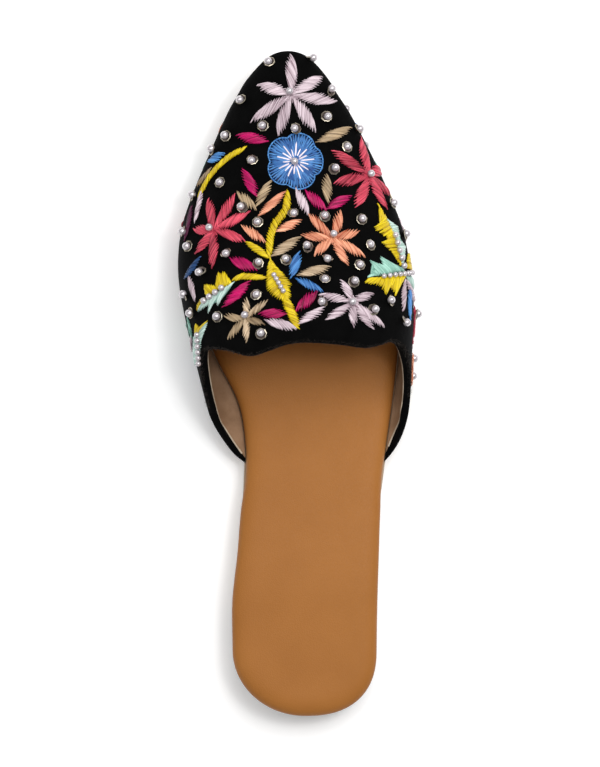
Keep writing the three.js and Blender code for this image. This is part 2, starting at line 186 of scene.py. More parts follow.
# Distance from the heel, and the sole's edge on the inner and outer side
SOLE_TABLE = np.array([
    (0, -26.8, 30.0), (26, -26.8, 30.0), (45, -26.9, 30.3), (64, -24.9, 30.9), (80, -23.6, 31.5),
    (94, -22.3, 32.7), (106, -22.2, 34.4), (123, -25.0, 36.9), (141.5, -34.1, 39.1), (158, -40.3, 40.2),
    (175, -42.8, 39.0), (190, -41.5, 35.8), (207, -37.0, 30.0), (222, -31.0, 23.4), (238, -24.0, 15.4),
    (247, -20.6, 11.5), (257, -18.0, 8.0),
])

# Distance from the heel, widest inner and outer point, ridge, crown, bulge over the sole, squareness
UPPER_TABLE = np.array([
    (80, -27.0, 36.5, -1.0, 65.0, 12.5, 2.6),
    (100, -30.6, 39.2, -1.0, 64.5, 12.5, 2.6),
    (120, -36.4, 42.7, -1.5, 62.5, 13.0, 2.6),
    (140, -41.5, 43.8, -2.0, 58.8, 13.0, 2.55),
    (160, -46.2, 44.5, -3.0, 53.4, 12.5, 2.45),
    (176, -48.3, 43.3, -4.0, 47.2, 12.0, 2.35),
    (192, -46.9, 40.2, -4.5, 41.0, 11.5, 2.25),
    (207, -42.0, 34.5, -5.0, 36.0, 11.0, 2.2),
    (222, -35.7, 27.6, -5.0, 31.8, 10.5, 2.2),
    (238, -28.6, 19.2, -5.0, 28.4, 9.8, 2.2),
    (247, -23.6, 13.4, -5.0, 26.8, 9.4, 2.2),
    (256, -19.6, 9.8, -5.0, 25.4, 9.0, 2.2),
    (262, -19.4, 9.6, -5.0, 24.6, 9.0, 2.2),
])

# Direction around the section, from the inner feather over the ridge to the outer one, and the topline there
TOPLINE_TABLE = np.array([
    (-90, 99.5), (-60, 103.2), (-35, 109.0), (-15, 114.5), (0, 119.0), (10, 125.5), (18, 133.0),
    (25, 139.5), (33, 143.9), (49, 144.0), (63.5, 141.7), (75, 143.8), (84, 146.0), (94, 146.9),
    (110, 146.2), (124, 144.9), (132, 145.9), (140, 147.3), (150, 145.0), (162, 138.5), (171, 131.0),
    (180, 122.0), (195, 115.0), (215, 109.0), (240, 104.0), (270, 100.0),
])

# Direction around the section, and at the topline there: how far the velvet is turned in behind it, how much
# its roll is thicker than the wall, and how deep in the wall its end lies
EDGE_TABLE = np.array([
    (-90, 1.8, 0.0, 2.0), (-80, 2.6, 0.0, 2.0), (-60, 4.8, 0.0, 2.0), (-42, 6.0, 0.5, 2.1),
    (-27, 4.8, 1.1, 2.7), (-13, 3.2, 1.4, 3.3), (0, 2.3, 1.5, 3.55), (8, 2.0, 1.4, 3.5),
    (25, 2.0, 1.2, 3.3), (38, 2.0, 0.4, 2.4), (50, 2.0, 0.0, 2.0), (130, 2.0, 0.0, 2.0),
    (141, 2.0, 0.8, 2.9), (150, 2.0, 1.6, 3.7), (158, 2.0, 1.6, 3.7), (168, 2.0, 1.0, 3.1),
    (176, 2.2, 0.8, 2.9), (184, 3.2, 0.9, 3.0), (195, 5.0, 1.0, 3.1), (207, 6.8, 0.7, 2.65),
    (220, 7.8, 0.3, 2.2), (235, 8.0, 0.0, 2.0), (248, 6.8, 0.0, 2.0), (262, 4.4, 0.0, 2.0),
    (270, 3.4, 0.0, 2.0),
])

# Soft troughs and swells of the velvet: place, half length, half width, height, and turn of the length
CREASES = [
    (-26.0, 156.0, 13.0, 4.5, -0.35, 18.0), (30.0, 154.0, 11.0, 4.0, -0.35, -24.0),
    (4.0, 151.0, 16.0, 4.0, 0.3, 4.0), (-34.0, 182.0, 10.0, 6.0, 0.3, 60.0),
    (22.0, 205.0, 12.0, 6.0, -0.25, -50.0),
]


def rows_at(table, place):
    """A table's columns at places, smooth from row to row."""
    place = np.asarray(place, float)
    last = len(table) - 1
    after = np.clip(np.searchsorted(table[:, 0], place, side="right"), 1, last)
    low, high = table[after - 1], table[after]
    lower, higher = table[np.maximum(after - 2, 0)], table[np.minimum(after + 1, last)]
    span = high[..., :1] - low[..., :1]
    t = np.clip((place[..., None] - low[..., :1]) / span, 0, 1)
    leave = (high - lower) / (high[..., :1] - lower[..., :1]) * span
    arrive = (higher - low) / (higher[..., :1] - low[..., :1]) * span
    bend = (3 - 2 * t) * t * t * (high - low) + t * (1 - t) * ((1 - t) * leave - t * arrive)
    return np.moveaxis(low + bend, -1, 0)


def closing(y, start, end, square=2.0):
    share = np.clip((y - start) / (end - start), 0, 1)
    return (1 - share ** square) ** (1 / square)


def smoothstep(value, start, end):
    t = np.clip((value - start) / (end - start), 0, 1)
    return t * t * (3 - 2 * t)


def underside(y):
    """Height of the sole's underside: heel seat, arch, flat tread, toe spring."""
    spring = TOE_SPRING * (np.maximum(y - TREAD_TO, 0) / (LENGTH - TREAD_TO)) ** 2
    return spring + HEEL_HEIGHT * (1 - smoothstep(y, ARCH_FROM, TREAD_FROM))


def sole_top(y):
    return underside(y) + SOLE_THICKNESS


def outline(y, inset, tip=None):
    """The two edges of the sole's outline, moved in by an inset."""
    y = np.asarray(y, float)
    _, inner, outer = rows_at(SOLE_TABLE, y)
    inner_heel = closing(HEEL_ROUND - y, 0, HEEL_ROUND - inset)
    outer_heel = closing(HEEL_ROUND - y, 0, HEEL_ROUND - inset, HEEL_OUTER_SQUARE)
    toe = closing(y, TOE_ROUND, SOLE_TIP - inset if tip is None else tip)
    middle = np.where(y < HEEL_ROUND, HEEL_CENTRE, TOE_CENTRE)
    inner = middle + (inner + inset - middle) * inner_heel * toe
    outer = middle + (outer - inset - middle) * outer_heel * toe
    return inner, outer


def section(y, inset, on_outer):
    """One side of the upper at a distance from the heel: edge, widest place, ridge, squareness, heights."""
    _, inner, outer, ridge, crown, bulge, square = rows_at(UPPER_TABLE, y)
    nose = closing(y, NOSE_FROM, LENGTH - inset)
    lift = closing(y, NOSE_UNDER_FROM, LENGTH - inset)
    feather = np.where(on_outer, *outline(y, FEATHER_INSET)[::-1])
    widest = ridge + (np.where(on_outer, outer - inset, inner + inset) - ridge) * nose
    seat = sole_top(y) + GAP
    waist = seat + bulge
    drop = (waist - seat - inset) * lift
    rise = (crown - inset - waist) * nose
    return feather, widest, ridge, square, waist, drop, rise


def upper_point(around, y, inset):
    """Points of the upper at directions around the section, distances from the heel, depths in the wall."""
    around, y, inset = np.broadcast_arrays(np.asarray(around, float), np.asarray(y, float), inset)
    on_outer = around > 90
    feather, widest, ridge, square, waist, drop, rise = section(y, inset, on_outer)
    angle = np.radians(np.where(on_outer, 180 - around, around))
    across, up = np.maximum(np.cos(angle), 0), np.sin(angle)
    rising = np.maximum(up, 0)
    reach = (across ** square + rising ** square + TINY) ** (-1 / square)
    x = np.where(up < 0, feather + (widest - feather) * across, ridge + (widest - ridge) * across * reach)
    z = np.where(up < 0, waist + drop * up, waist + rise * rising * reach)
    return np.stack([x, y, z], axis=-1)


def unit(vectors):
    return vectors / np.maximum(np.linalg.norm(vectors, axis=-1, keepdims=True), TINY)


def full_turn(count):
    return np.linspace(0, 2 * math.pi, count, endpoint=False)


def rays(right, forward, turns):
    """Directions at turns in the plane of two others."""
    return right * np.cos(turns)[..., None] + forward * np.sin(turns)[..., None]


def skin_normal(around, y):
    turn, step = 0.5, 0.4
    y = np.minimum(y, LENGTH - 2 * step)
    girth = upper_point(around + turn, y, 0) - upper_point(around - turn, y, 0)
    along = upper_point(around, y + step, 0) - upper_point(around, y - step, 0)
    return unit(np.cross(girth, along))


def relief(points):
    """Height of the listed troughs and swells over the plain last."""
    total = np.zeros(points.shape[:-1])
    for x, y, length, width, height, turn in CREASES:
        turn = math.radians(turn)
        dx, dy = points[..., 0] - x, points[..., 1] - y
        run = (dx * math.cos(turn) + dy * math.sin(turn)) / length
        side = (dy * math.cos(turn) - dx * math.sin(turn)) / width
        total += height * np.exp(-run * run - side * side)
    return total


def skin(around, y, height=0.0, depth=0.0):
    """Points on the velvet, or above it or below it in the wall."""
    on_top = upper_point(around, y, 0)
    return upper_point(around, y, depth) + skin_normal(around, y) * (height + relief(on_top))[..., None]


def around_at(x, y):
    """Direction around the section where the upper, seen from above, has this x."""
    low, high = np.zeros_like(x), np.full_like(x, 180.0)
    for _ in range(HALVINGS):
        middle = (low + high) / 2
        inside = upper_point(middle, y, 0)[..., 0] < x
        low, high = np.where(inside, middle, low), np.where(inside, high, middle)
    return (low + high) / 2


def on_skin(points):
    """Direction and distance of the places on the upper under points close to it."""
    x, y, z = points[..., 0], np.clip(points[..., 1], SKIN_BACK, SKIN_TIP), points[..., 2]
    on_outer = x > rows_at(UPPER_TABLE, y)[3]
    feather, widest, ridge, _, waist, drop, rise = section(y, 0, on_outer)
    rising = np.arctan2((z - waist) / np.maximum(rise, LEAST_RISE), (x - ridge) / (widest - ridge))
    falling = np.arctan2((z - waist) / np.maximum(drop, LEAST_RISE), (x - feather) / (widest - feather))
    angle = np.degrees(np.where(z >= waist, rising, np.clip(falling, -math.pi / 2, 0)))
    return np.where(on_outer, 180 - angle, angle), y


# From the chart to the frame: the heel block's front face and its inner edge are known in both
heel_low, heel_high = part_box("heel")
SHIFT = np.array([
    heel_low.x / MM - float(outline(HEEL_LENGTH, SOLE_BACK_INSET)[0]),
    heel_high.y / MM - HEEL_LENGTH,
    0.0,
])


def linear(red, green, blue):
    def channel(value):
        value /= 255
        return value / 12.92 if value <= 0.04045 else ((value + 0.055) / 1.055) ** 2.4

    return channel(red), channel(green), channel(blue), 1.0


def make_piece(name, points, quads, material, flat=False, triangles=(), tones=None, weld=False):
    """A mesh from chart points, welded and turned outwards where asked, on the one body."""
    points = (np.asarray(points).reshape(-1, 3) + SHIFT) * MM
    quads, triangles = np.array(quads, int).reshape(-1, 4), np.array(triangles, int).reshape(-1, 3)
    mesh = bpy.data.meshes.new(name)
    mesh.from_pydata(points.tolist(), [], quads.tolist() + triangles.tolist())
    if tones is not None:
        layer = mesh.attributes.new("tone", "FLOAT", "POINT")
        layer.data.foreach_set("value", np.asarray(tones, np.float32).ravel())
    if weld:
        work = bmesh.new()
        work.from_mesh(mesh)
        bmesh.ops.remove_doubles(work, verts=work.verts, dist=WELD_DISTANCE)
        bmesh.ops.dissolve_degenerate(work, edges=work.edges, dist=LEAST_EDGE)
        bmesh.ops.recalc_face_normals(work, faces=work.faces)
        work.to_mesh(mesh)
        work.free()
    mesh.validate()
    if not flat:
        mesh.shade_smooth()
    mesh.materials.append(material)
    piece = bpy.data.objects.new(name, mesh)
    bpy.context.scene.collection.objects.link(piece)
    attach(piece, "root")
    return piece


def grid_quads(rows, columns, ring=False, loop=False):
    """Faces between neighbouring rows and columns of points, and back to the first ones where asked."""
    index = np.pad(np.arange(rows * columns).reshape(rows, columns), ((0, loop), (0, ring)), mode="wrap")
    corners = [index[:-1, :-1], index[:-1, 1:], index[1:, 1:], index[1:, :-1]]
    return np.stack(corners, axis=-1).reshape(-1, 4)


def shell_quads(rows, columns):
    """Faces of a closed sheet: an outer grid, an inner grid after it, and strips along their four edges."""
    size = rows * columns
    index = np.arange(size).reshape(rows, columns)
    border = np.concatenate([index[0, :], index[1:, -1], index[-1, -2::-1], index[-2:0:-1, 0]])
    following = np.roll(border, -1)
    strip = np.stack([following, border, border + size, following + size], axis=-1)
    grid = grid_quads(rows, columns)
    return np.concatenate([grid, grid[:, ::-1] + size, strip])


def end_fans(rings, sides):
    """Triangles from the first and the last ring to two middle points that follow the rings."""
    step = np.arange(sides)
    following = (step + 1) % sides
    end, middle = (rings - 1) * sides, np.full(sides, rings * sides)
    fans = [[following, step, middle], [end + step, end + following, middle + 1]]
    return np.concatenate([np.stack(fan, axis=-1) for fan in fans])


def starts_of(count, size):
    """The first point of each of many like shapes, to add to the faces of one."""
    return (np.arange(count) * size)[:, None, None]


# Materials

NOISE_RANGE = (0.3, 0.7)
NOISE_ROUGHNESS = 0.55
PATCH_DETAIL = 5.0
GRAIN_DETAIL = 4.0
GRAIN_STRENGTH = 0.6
CELL_SIZE = 0.9
CELL_EDGE = 0.25
CELL_STRENGTH = 0.5
CELL_HEIGHT = 0.06
SATIN = {
    "patch": None, "grain": 0.12, "height": 0.03, "rough": (0.32, 0.5), "detail": 2.0, "strength": 0.4,
    "Specular IOR Level": 0.35}


def settle(node, values):
    """Constant values on a node's own sockets."""
    for name, value in values.items():
        node.inputs[name].default_value = value


def new_material(name):
    material = bpy.data.materials.new(name)
    material.use_nodes = True
    return material, material.node_tree, material.node_tree.nodes["Principled BSDF"]


def texture(tree, kind, size):
    """A texture whose lumps have a size in millimetres."""
    place = tree.nodes.new("ShaderNodeTexCoord")
    node = tree.nodes.new(kind)
    node.inputs["Scale"].default_value = 1 / (size * MM)
    tree.links.new(place.outputs["Object"], node.inputs["Vector"])
    return node


def noise(tree, size, detail):
    node = texture(tree, "ShaderNodeTexNoise", size)
    settle(node, {"Detail": detail, "Roughness": NOISE_ROUGHNESS})
    return node.outputs["Fac"]


def spread(tree, source, source_range, result_range):
    node = tree.nodes.new("ShaderNodeMapRange")
    ends = ("From Min", "From Max", "To Min", "To Max")
    settle(node, dict(zip(ends, (*source_range, *result_range))))
    tree.links.new(source, node.inputs["Value"])
    return node.outputs["Result"]


def blend_colour(tree, share, dark, light):
    node = tree.nodes.new("ShaderNodeMix")
    node.data_type = "RGBA"
    for socket in node.inputs:
        if socket.type == "RGBA":
            socket.default_value = linear(*(dark if socket.name == "A" else light))
    tree.links.new(share, node.inputs["Factor"])
    return next(out for out in node.outputs if out.type == "RGBA")


def bump(tree, shader, source, strength, height):
    node = tree.nodes.new("ShaderNodeBump")
    settle(node, {"Strength": strength, "Distance": height * MM})
    tree.links.new(source, node.inputs["Height"])
    before = shader.inputs["Normal"].links
    if before:
        tree.links.new(before[0].from_socket, node.inputs["Normal"])
    tree.links.new(node.outputs["Normal"], shader.inputs["Normal"])


def plain_material(
        name, dark, light, patch, grain, height, rough,
        detail=GRAIN_DETAIL, strength=GRAIN_STRENGTH, **constants):
    """Two tones, in patches or else stitch by stitch, and fine grain in the surface and its roughness."""
    material, tree, shader = new_material(name)
    if patch:
        share = spread(tree, noise(tree, patch, PATCH_DETAIL), NOISE_RANGE, (0, 1))
    else:
        tone = tree.nodes.new("ShaderNodeAttribute")
        tone.attribute_name = "tone"
        share = tone.outputs["Fac"]
    tree.links.new(blend_colour(tree, share, dark, light), shader.inputs["Base Color"])
    grains = noise(tree, grain, detail)
    tree.links.new(spread(tree, grains, NOISE_RANGE, rough), shader.inputs["Roughness"])
    bump(tree, shader, grains, strength, height)
    settle(shader, constants)
    return material


# Each material's shaded and lit tone, sizes of its patches and grain, height of the grain, and roughness
velvet = plain_material("black_velvet", (1, 1, 1), (5, 5, 5), 7.0, 0.35, 0.12, (0.85, 1.0), **{
    "Specular IOR Level": 0.06, "Sheen Weight": 0.024, "Sheen Roughness": 0.4,
    "Sheen Tint": linear(150, 150, 165)})
leather = plain_material("tan_leather", (151, 96, 42), (158, 102, 47), 26.0, 0.8, 0.05, (0.45, 0.6), **{
    "Specular IOR Level": 0.16})
pearl = plain_material("pearl", (178, 172, 176), (212, 205, 209), 1.6, 0.5, 0.01, (0.16, 0.26), **{
    "Metallic": 0.5, "Coat Weight": 0.7, "Coat Roughness": 0.1,
    "Thin Film Thickness": 340.0, "Thin Film IOR": 1.5})
cup = plain_material(
    "cup_metal", (136, 126, 108), (196, 187, 170), 1.2, 0.4, 0.01, (0.22, 0.36), Metallic=1.0)
# A darker, dull copy of the cup's metal for its inner faces: painted shade inside the cup
cup_painted_shade = plain_material("cup_painted_shade", (60, 50, 46), (120, 106, 98), 1.0, 0.4, 0.01, (0.3, 0.5))
lining_cloth = plain_material("taupe_lining", (124, 92, 64), (150, 117, 88), 9.0, 0.5, 0.08, (0.7, 0.9))
piping_cloth = plain_material("cream_edge", (160, 142, 120), (200, 184, 162), 4.0, 0.4, 0.06, (0.6, 0.8))
sole_rubber = plain_material("sole_rubber", (150, 128, 104), (172, 148, 122), 12.0, 0.9, 0.12, (0.6, 0.8))
heel_rubber = plain_material("heel_rubber", (62, 48, 37), (78, 62, 48), 10.0, 0.8, 0.1, (0.55, 0.75))
fuzz_hair = plain_material("velvet_fuzz", (10, 9, 9), (66, 56, 48), 1.5, 0.4, 0.02, (0.7, 0.9))

# The leather's fine cells, over its grain
leather_tree = leather.node_tree
cells = texture(leather_tree, "ShaderNodeTexVoronoi", CELL_SIZE)
cells.feature = "DISTANCE_TO_EDGE"
cell_walls = spread(leather_tree, cells.outputs["Distance"], (0, CELL_EDGE), (0, 1))
bump(leather_tree, leather_tree.nodes["Principled BSDF"], cell_walls, CELL_STRENGTH, CELL_HEIGHT)

# Colours of the thread, as its shaded and its lit stitches
THREADS = {
    "magenta": ((104, 0, 46), (204, 0, 104)),
    "crimson": ((122, 14, 38), (230, 84, 106)),
    "coral": ((168, 80, 50), (246, 178, 142)),
    "yellow": ((164, 130, 0), (236, 212, 20)),
    "mint": ((88, 140, 124), (174, 220, 204)),
    "frost": ((118, 156, 144), (214, 236, 228)),
    "lilac": ((138, 114, 124), (230, 213, 220)),
    "tan": ((94, 73, 50), (194, 169, 134)),
    "beige": ((128, 104, 76), (224, 200, 168)),
    "blue": ((26, 76, 140), (90, 154, 216)),
    # A lighter blue for the rosette's inner disc: painted sheen
    "blue_painted_sheen": ((30, 84, 150), (104, 158, 214)),
    "navy": ((16, 44, 84), (48, 92, 148)),
    "deep_blue": ((6, 20, 48), (14, 44, 92)),
    # A darker magenta for the leaf on the inner wall that faces away from the light: painted shade
    "magenta_painted_shade": ((50, 8, 34), (112, 26, 76)),
    "white": ((196, 180, 192), (246, 236, 244)),
}
thread_materials = {
    name: plain_material("thread_" + name, *tones, **SATIN) for name, tones in THREADS.items()}

# The upper: velvet that rolls over the topline, a lining inside it and the lining's pale edge

COLUMNS = np.concatenate([
    np.linspace(-90, 0, 20, endpoint=False),
    np.linspace(0, 180, 190, endpoint=False),
    np.linspace(180, 270, 21),
])
STRAIGHT_SHARES = np.linspace(0, 1, 110)[1:]
NOSE_TURNS = np.radians(np.concatenate([np.linspace(0, 84, 22)[1:], [87.5, 89.4]]))
ROLL_TURNS = np.radians(np.linspace(-90, 90, 9))
INSIDE_SHARES = (1.0, 0.66, 0.33)


def wall_rows(edge_rows, depth):
    """Rows of points from the topline to the nose: first those near the edge, then the wall at one depth."""
    topline = rows_at(TOPLINE_TABLE, COLUMNS)[1]
    rows = [skin(COLUMNS, topline + back, depth=deep) for back, deep in edge_rows]
    start = topline + edge_rows[-1][0]
    for share in STRAIGHT_SHARES:
        rows.append(skin(COLUMNS, start + (NOSE_FROM - start) * share, depth=depth))
    for turn in NOSE_TURNS:
        y = NOSE_FROM + (LENGTH - depth - NOSE_FROM) * math.sin(turn)
        rows.append(skin(COLUMNS, np.full_like(COLUMNS, y), depth=depth))
    return np.array(rows)


turn_in, swell, end_depth = rows_at(EDGE_TABLE, COLUMNS)[1:]


def roll(inset):
    """Places around the topline's rounded edge: distance behind it and depth in the wall."""
    middle = (WALL + swell) / 2
    radius = middle - inset
    inside = [
        (middle + (turn_in - middle) * share, 2 * middle - inset + (end_depth - 2 * middle) * share)
        for share in INSIDE_SHARES]
    return inside + [(middle - radius * math.cos(t), middle - radius * math.sin(t)) for t in ROLL_TURNS]


outer_rows = wall_rows(roll(0.0), 0.0)
inner_rows = wall_rows(roll(VELVET), VELVET)
upper_piece = make_piece(
    "velvet_upper", np.concatenate([outer_rows, inner_rows]),
    shell_quads(len(outer_rows), len(COLUMNS)), velvet, weld=True)
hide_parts("upper")

lining_back = turn_in + LINING_BACK
lining_inside = wall_rows([(lining_back, end_depth), (lining_back + LINING_TAPER, WALL)], WALL)
lining_outside = wall_rows(
    [(lining_back + back, LINING_OUTER_DEPTH) for back in (0, LINING_TAPER)], LINING_OUTER_DEPTH)
make_piece(
    "upper_lining", np.concatenate([lining_outside, lining_inside]),
    shell_quads(len(lining_inside), len(COLUMNS)), lining_cloth, weld=True)

TUBE_SIDES = 6
TUBE_ENDS = ((0, 1, 2, 3), (0, 3, 4, 5))
TURNED_OVER = [0, 3, 2, 1]


def tubes(centres, normals, widths, heights):
    """Closed tubes through rows of points; the widths and heights are given at each point."""
    count, steps = centres.shape[:2]
    along = unit(np.gradient(centres, axis=1))
    across = unit(np.cross(along, normals))
    up = np.cross(across, along)
    turns = full_turn(TUBE_SIDES)
    ring = (across[:, :, None] * (np.cos(turns)[:, None] * widths[..., None, None] / 2)
            + up[:, :, None] * (np.sin(turns)[:, None] * heights[..., None, None] / 2))
    points = centres[:, :, None] + ring
    last = (steps - 1) * TUBE_SIDES
    faces = [grid_quads(steps, TUBE_SIDES, ring=True)[:, TURNED_OVER]]
    for corners in TUBE_ENDS:
        faces += [[corners], [[last + corner for corner in corners[::-1]]]]
    return points.reshape(-1, 3), starts_of(count, steps * TUBE_SIDES) + np.concatenate(faces)


piping_around = np.linspace(-80, 260, 420)
_, piping_back, _, piping_depth = rows_at(EDGE_TABLE, piping_around)
piping_y = rows_at(TOPLINE_TABLE, piping_around)[1] + piping_back + PIPING_BACK
piping_line = skin(piping_around, piping_y, depth=piping_depth - PIPING_RISE)[None]
piping_size = np.full(piping_line.shape[:2], 2 * PIPING_RADIUS)
piping_points, piping_faces = tubes(
    piping_line, skin_normal(piping_around, piping_y)[None], piping_size, piping_size)
make_piece("lining_edge", piping_points, piping_faces, piping_cloth, weld=True)

# The layers under the foot, as nested outlines from the middle of the underside round to the middle on top

PLATE_SHARES = (1 - np.cos(np.linspace(0, math.pi, 170))) / 2
PAD_TURNS = np.radians(np.linspace(0, 90, 18))
PAD_SHARES = (0.35, 0.7, 1.0)
PAD_STEP = 0.2
MARGIN_STEP = 1.0
EDGE_TURNS = np.radians(np.linspace(0, 90, 5))


def plate(name, columns, back_inset, front_inset, tip, material):
    """columns: inset from the layer's edge, share of the way to the middle, and height over the floor."""
    sides = {"inner": [], "outer": []}
    for inset, towards, height_of in columns:
        start, end = inset + back_inset, tip - inset
        y = start + (end - start) * PLATE_SHARES
        in_front = smoothstep(y, INSOLE_EDGE_BACK, INSOLE_EDGE_FRONT)
        inner, outer = outline(y, start + (front_inset - back_inset) * in_front, end)
        middle = (inner + outer) / 2
        for side, edge in (("inner", inner), ("outer", outer)):
            x = edge + (middle - edge) * towards
            sides[side].append(np.stack([x, y, height_of(y)], axis=-1))
    loop = sides["inner"] + sides["outer"][-2:0:-1]
    loop.append(loop[0])
    points = np.array(loop)
    return make_piece(name, points, grid_quads(len(loop), len(PLATE_SHARES)), material, weld=True)


def above_sole(height):
    return lambda y: sole_top(y) + height


def above_ground(height):
    return lambda y: underside(y) + height


def insole_under(y):
    """The footbed lies on the upper's margin in front and on the sole at the back."""
    return sole_top(y) + GAP + (WALL + GAP) * smoothstep(y, MARGIN_BACK - MARGIN_STEP, MARGIN_BACK)


shoulder = GAP + WALL + GAP + INSOLE_PLATE - INSOLE_EDGE - PAD_DROP
crown = INSOLE_EDGE + INSOLE_CROWN + PAD_DROP
insole_columns = [
    (PAD_EDGE, 1.0, above_sole(GAP)), (PAD_EDGE, 0.0, above_sole(GAP)),
    (PAD_EDGE - PAD_STEP, 0.0, insole_under), (0.0, 0.0, insole_under)]
for turn in PAD_TURNS:
    rise = math.sin(turn) ** (2 / PAD_SQUARE)
    inset = PAD_EDGE * (1 - math.cos(turn) ** (2 / PAD_SQUARE))
    insole_columns.append((inset, 0.0, above_sole(shoulder + crown * rise)))
for towards in PAD_SHARES:
    insole_columns.append((PAD_EDGE, towards, above_sole(shoulder + crown)))
insole_piece = plate(
    "leather_insole", insole_columns, 0.0, INSOLE_INSET, INSOLE_TIP, leather)
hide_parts("insole")

edge_round = [(SOLE_EDGE * (1 - math.sin(turn)), SOLE_EDGE * (1 - math.cos(turn))) for turn in EDGE_TURNS]
outsole_columns = [(MARGIN, towards, above_ground(0.0)) for towards in (1.0, 0.5, 0.0)]
for inset, height in edge_round:
    outsole_columns.append((inset, 0.0, above_ground(height)))
for inset, height in edge_round[::-1]:
    outsole_columns.append((inset, 0.0, above_ground(SOLE_THICKNESS - height)))
outsole_columns += [(MARGIN, towards, above_sole(0.0)) for towards in (0.0, 1.0)]
outsole_piece = plate(
    "sole", outsole_columns, SOLE_BACK_INSET, 0.0, SOLE_TIP, sole_rubber)
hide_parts("outsole")

# Levels of the heel block, with a groove round its middle: inset and height
heel_top = HEEL_HEIGHT - GAP
heel_levels = [
    (HEEL_EDGE, 0.0), (HEEL_EDGE * 0.3, HEEL_EDGE * 0.3), (0.0, HEEL_EDGE), (0.0, 4.4), (0.25, 4.6),
    (0.25, 4.9), (0.0, 5.1), (0.0, heel_top - 0.4), (0.4, heel_top)]
heel_turns = np.linspace(0, math.pi / 2, 60)
heel_y = HEEL_LENGTH - (HEEL_LENGTH - SOLE_BACK_INSET) * np.sin(heel_turns)
heel_inner, heel_outer = (np.stack([x, heel_y], axis=-1) for x in outline(heel_y, SOLE_BACK_INSET))
heel_plan = np.concatenate([heel_inner, heel_outer[-2::-1]])
heel_pivot = np.array([HEEL_CENTRE, HEEL_LENGTH])
heel_rings = []
for inset, z in heel_levels:
    taper = HEEL_TAPER * (1 - z / heel_top) + inset
    ring = heel_pivot + (heel_plan - heel_pivot) * (1 - taper / np.array([HEEL_ROUND, HEEL_LENGTH]))
    heel_rings.append(np.column_stack([ring, np.full(len(ring), z)]))
heel_middles = [[(HEEL_CENTRE, HEEL_ROUND, z)] for z in (0.0, heel_top)]
heel_size = len(heel_levels), len(heel_plan)
heel_piece = make_piece(
    "heel_block", np.concatenate(heel_rings + heel_middles), grid_quads(*heel_size, ring=True),
    heel_rubber, triangles=end_fans(*heel_size), weld=True)
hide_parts("heel")

# Embroidery: every stitch is a thread of its own, laid on the velvet

stitches = {name: [] for name in THREADS}


def lay(colour, starts, ends, lift=STITCH_LIFT, width=THREAD_WIDTH, ragged=RAGGED, teeth=0.0, tone=TONE):
    """Stitches between points near the skin, padded in the middle and sunk in the velvet at both ends."""
    reach = unit(ends - starts)
    count = len(starts)
    longer = np.arange(count) % 2 * teeth
    before = draws.uniform(*RAGGED_SPREAD, count) * ragged + longer[::-1] * START_TEETH
    beyond = draws.uniform(*RAGGED_SPREAD, count) * ragged + longer
    starts, ends = starts - reach * before[:, None], ends + reach * beyond[:, None]
    t = np.linspace(0, 1, STITCH_POINTS)[None, :, None]
    around, y = on_skin(starts[:, None] * (1 - t) + ends[:, None] * t)
    span = np.linalg.norm(ends - starts, axis=-1)[:, None]
    pad = lift * np.minimum(span / FULL_PAD_SPAN, 1.0) * np.sin(math.pi * t[..., 0]) ** PAD_POWER
    height = STITCH_BASE + pad + draws.uniform(*BASE_SPREAD, (count, 1))
    tones = np.clip(draws.normal(tone, TONE_SPREAD, count), 0, 1)
    taper = np.ones(STITCH_POINTS)
    taper[[0, -1]] = END_WIDTH
    widths = width * taper * draws.uniform(*WIDTH_SPREAD, (count, 1))
    stitches[colour].append((skin(around, y, height), skin_normal(around, y), tones, widths))


def run_of(line):
    """Distances along a line from its start."""
    return np.concatenate([[0], np.cumsum(np.linalg.norm(np.diff(line, axis=0), axis=-1))])


def from_photo(places):
    """Places in the chart, seen from above, for places in the photograph."""
    return (np.asarray(places, float) - (AXIS_PIXEL, HEEL_PIXEL)) * (PIXEL, -PIXEL)


def plan(points, count, straight=False):
    """A smooth or a jagged line through places charted in the photograph, as points on the skin."""
    flat = from_photo(points)
    run = run_of(flat)
    places = np.linspace(0, run[-1], count)
    if straight:
        x, y = (np.interp(places, run, flat[:, axis]) for axis in range(2))
    else:
        x, y = rows_at(np.column_stack([run, flat]), places)[1:]
    y = np.clip(y, CHART_BACK, CHART_TIP)
    return skin(around_at(x, y), y)


def spot(place):
    """The point on the skin at one place charted in the photograph."""
    x, y = from_photo([place]).T
    return skin(around_at(x, y), y)[0]


def along(line, shares):
    """Points at shares of a line's length."""
    run = run_of(line)
    places = np.clip(shares, 0, 1) * run[-1]
    return np.stack([np.interp(places, run, line[:, axis]) for axis in range(3)], axis=-1)


def weave(colour, first, second, slant, ragged=RAGGED, teeth=0.0, tone=TONE, step=STITCH_STEP):
    """Slanted stitches between two edges, over a few threads that run along between them."""
    length = max(run_of(edge)[-1] for edge in (first, second))
    breadth = np.linalg.norm(second - first, axis=-1).max()
    for share in np.linspace(*UNDERLAY_BAND, max(int(breadth / UNDERLAY_STEP), 2)):
        thread = along(first + (second - first) * share, np.linspace(*UNDERLAY_ENDS, UNDERLAY_POINTS))
        # The underlay's darker tone is painted shade between the stitches
        lay(colour, thread[:-1], thread[1:], **UNDERLAY)
    count = max(int(length * (1 + slant) / step), LEAST_COUNT)
    shares = np.linspace(-slant / 2, 1 + slant / 2, count)
    shares += draws.uniform(-STITCH_JITTER, STITCH_JITTER, count)
    starts, ends = along(first, shares - slant / 2), along(second, shares + slant / 2)
    long_enough = np.linalg.norm(ends - starts, axis=-1) > LEAST_STITCH
    lay(colour, starts[long_enough], ends[long_enough], ragged=ragged, teeth=teeth, tone=tone)


def sides_of(line, half):
    """The two edges of a band along a line on the skin."""
    around, y = on_skin(line)
    across = unit(np.cross(skin_normal(around, y), np.gradient(line, axis=0)))
    return line - across * half[:, None], line + across * half[:, None]


